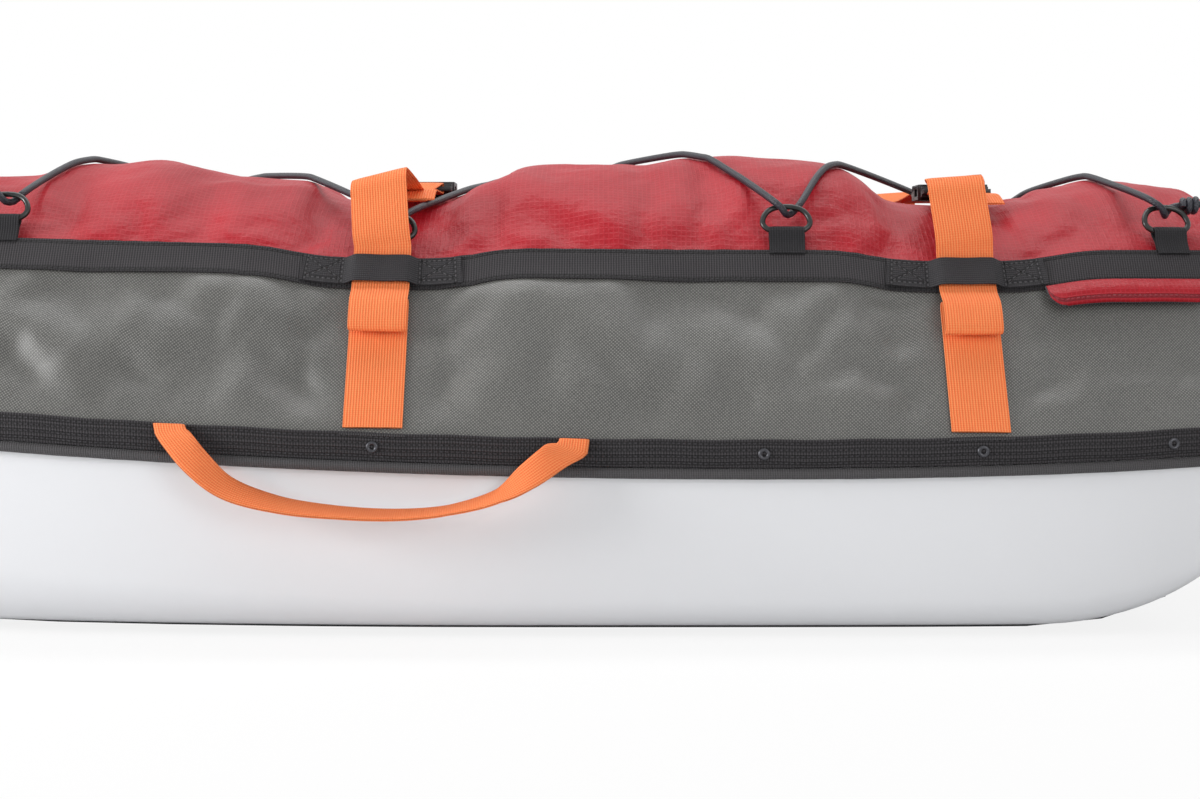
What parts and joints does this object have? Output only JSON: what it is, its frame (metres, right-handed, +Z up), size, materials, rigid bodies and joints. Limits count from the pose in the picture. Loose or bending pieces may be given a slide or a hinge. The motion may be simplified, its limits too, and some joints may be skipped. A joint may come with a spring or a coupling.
{
  "type": "pulk sled",
  "caption": "Cargo sled with a moulded hull, a cloth load bag riveted round its rim, buckled lashing straps and an elastic lashing cord.",
  "frame": {"origin": "middle of the bounding box at its bottom, on the ground under the runners", "axes": "+X to the stern, -Y to the port side that the picture shows, +Z up"},
  "size_m": [1.3046, 0.557, 0.3427],
  "materials": {
    "hull_plastic": "smooth white moulded plastic",
    "sole_plastic": "black sliding plastic",
    "black_webbing": "ribbed black webbing with stitch rows",
    "grey_canvas": "grey twill cloth",
    "red_ripstop": "red ripstop cloth",
    "orange_webbing": "orange ribbed webbing",
    "buckle_plastic": "black moulded plastic",
    "black_wire": "black coated wire",
    "elastic_cord": "braided black elastic cord",
    "dark_metal": "dark coated metal",
    "steel": "plain steel"
  },
  "bodies": {
    "sled": {"hull_shell": "hull_plastic", "sole_plate": "sole_plastic", "runner_port": "sole_plastic", "runner_starboard": "sole_plastic", "hem_band": "black_webbing", "hem_piping": "black_webbing", "side_skirt": "grey_canvas", "top_trim": "black_webbing", "top_cover_port": "red_ripstop", "top_cover_starboard": "red_ripstop", "rivet_strip_port": "dark_metal", "rivet_strip_starboard": "dark_metal", "strap_bow_port": "orange_webbing", "strap_bow_starboard": "orange_webbing", "strap_mid_port": "orange_webbing", "strap_mid_starboard": "orange_webbing", "strap_stern_port": "orange_webbing", "strap_stern_starboard": "orange_webbing", "keeper_bow_port": "black_webbing", "keeper_bow_starboard": "black_webbing", "keeper_mid_port": "black_webbing", "keeper_mid_starboard": "black_webbing", "keeper_stern_port": "black_webbing", "keeper_stern_starboard": "black_webbing", "buckle_socket_bow": "buckle_plastic", "buckle_socket_mid": "buckle_plastic", "buckle_socket_stern": "buckle_plastic", "ring_tab_1": "black_webbing", "ring_tab_2": "black_webbing", "ring_tab_3": "black_webbing", "ring_tab_4": "black_webbing", "ring_tab_5": "black_webbing", "ring_tab_6": "black_webbing", "ring_tab_7": "black_webbing", "ring_tab_8": "black_webbing", "lashing_cord": "elastic_cord", "pocket_zip": "black_webbing", "tow_clevis_port": "dark_metal", "tow_clevis_starboard": "dark_metal"},
    "handle_body_port": {"handle_port": "orange_webbing"},
    "handle_body_starboard": {"handle_starboard": "orange_webbing"},
    "flap_body": {"pocket_flap": "red_ripstop"},
    "slider_body": {"zip_slider": "steel"},
    "tongue_body_bow": {"buckle_tongue_bow": "buckle_plastic"},
    "tongue_body_mid": {"buckle_tongue_mid": "buckle_plastic"},
    "tongue_body_stern": {"buckle_tongue_stern": "buckle_plastic"},
    "ring_body_1": {"d_ring_1": "black_wire"},
    "ring_body_2": {"d_ring_2": "black_wire"},
    "ring_body_3": {"d_ring_3": "black_wire"},
    "ring_body_4": {"d_ring_4": "black_wire"},
    "ring_body_5": {"d_ring_5": "black_wire"},
    "ring_body_6": {"d_ring_6": "black_wire"},
    "ring_body_7": {"d_ring_7": "black_wire"},
    "ring_body_8": {"d_ring_8": "black_wire"},
    "pin_body_port": {"tow_pin_port": "steel"},
    "pull_ring_body_port": {"pull_ring_port": "steel"},
    "pin_body_starboard": {"tow_pin_starboard": "steel"},
    "pull_ring_body_starboard": {"pull_ring_starboard": "steel"}
  },
  "joints": [
    {"name": "handle_port_swing", "type": "hinge", "parent": "sled", "child": "handle_body_port", "pos_m": [0, -0.25609, 0.14393], "axis": [-0.9993, 0.0022, 0.0371], "range_deg": [0, 150]},
    {"name": "handle_starboard_swing", "type": "hinge", "parent": "sled", "child": "handle_body_starboard", "pos_m": [0, 0.25609, 0.14393], "axis": [0.9993, 0.0022, -0.0371], "range_deg": [0, 150]},
    {"name": "pocket_flap_lift", "type": "hinge", "parent": "sled", "child": "flap_body", "pos_m": [0.53855, -0.18105, 0.24508], "axis": [-0.9875, -0.1528, -0.0385], "range_deg": [0, 100]},
    {"name": "zip_slide", "type": "slide", "parent": "sled", "child": "slider_body", "axis": [0.9917, 0.1171, 0.053], "range_m": [0, 0.04]},
    {"name": "buckle_bow_release", "type": "slide", "parent": "sled", "child": "tongue_body_bow", "axis": [0, -1, 0], "range_m": [0, 0.03], "deforming": ["strap_bow_port"]},
    {"name": "buckle_mid_release", "type": "slide", "parent": "sled", "child": "tongue_body_mid", "axis": [0, -1, 0], "range_m": [0, 0.03], "deforming": ["strap_mid_port"]},
    {"name": "buckle_stern_release", "type": "slide", "parent": "sled", "child": "tongue_body_stern", "axis": [0, -1, 0], "range_m": [0, 0.03], "deforming": ["strap_stern_port"]},
    {"name": "d_ring_1_swing", "type": "hinge", "parent": "sled", "child": "ring_body_1", "pos_m": [-0.47689, 0.14577, 0.29402], "axis": [-0.9728, -0.2316, 0], "range_deg": [-20, 40], "deforming": ["lashing_cord"]},
    {"name": "d_ring_2_swing", "type": "hinge", "parent": "sled", "child": "ring_body_2", "pos_m": [-0.26786, -0.16814, 0.28732], "axis": [0.9992, -0.0405, 0], "range_deg": [-20, 40], "deforming": ["lashing_cord"]},
    {"name": "d_ring_3_swing", "type": "hinge", "parent": "sled", "child": "ring_body_3", "pos_m": [-0.18487, 0.17059, 0.28478], "axis": [-0.9998, -0.0187, 0], "range_deg": [-20, 40], "deforming": ["lashing_cord"]},
    {"name": "d_ring_4_swing", "type": "hinge", "parent": "sled", "child": "ring_body_4", "pos_m": [0.00505, -0.17174, 0.27265], "axis": [1, -0.0001, 0], "range_deg": [-20, 15], "deforming": ["lashing_cord"]},
    {"name": "d_ring_5_swing", "type": "hinge", "parent": "sled", "child": "ring_body_5", "pos_m": [0.10593, 0.17181, 0.27881], "axis": [-1, 0.0001, 0], "range_deg": [-20, 40], "deforming": ["lashing_cord"]},
    {"name": "d_ring_6_swing", "type": "hinge", "parent": "sled", "child": "ring_body_6", "pos_m": [0.2831, -0.17161, 0.2783], "axis": [1, 0.0061, 0], "range_deg": [-20, 40], "deforming": ["lashing_cord"]},
    {"name": "d_ring_7_swing", "type": "hinge", "parent": "sled", "child": "ring_body_7", "pos_m": [0.47449, 0.16639, 0.27498], "axis": [-0.9976, 0.0694, 0], "range_deg": [-20, 40], "deforming": ["lashing_cord"]},
    {"name": "d_ring_8_swing", "type": "hinge", "parent": "sled", "child": "ring_body_8", "pos_m": [0.55528, -0.15569, 0.27831], "axis": [0.9737, 0.2278, 0], "range_deg": [-20, 40], "deforming": ["lashing_cord"]},
    {"name": "tow_pin_port_draw", "type": "slide", "parent": "sled", "child": "pin_body_port", "axis": [-0.2815, -0.9596, 0], "range_m": [0, 0.026]},
    {"name": "pull_ring_port_swing", "type": "hinge", "parent": "pin_body_port", "child": "pull_ring_body_port", "pos_m": [-0.50164, -0.24782, 0.16811], "axis": [-0.9596, 0.2815, 0], "range_deg": [-10, 80]},
    {"name": "tow_pin_starboard_draw", "type": "slide", "parent": "sled", "child": "pin_body_starboard", "axis": [-0.2815, 0.9596, 0], "range_m": [0, 0.026]},
    {"name": "pull_ring_starboard_swing", "type": "hinge", "parent": "pin_body_starboard", "child": "pull_ring_body_starboard", "pos_m": [-0.50164, 0.24782, 0.16811], "axis": [0.9596, 0.2815, 0], "range_deg": [-10, 80]}
  ]
}
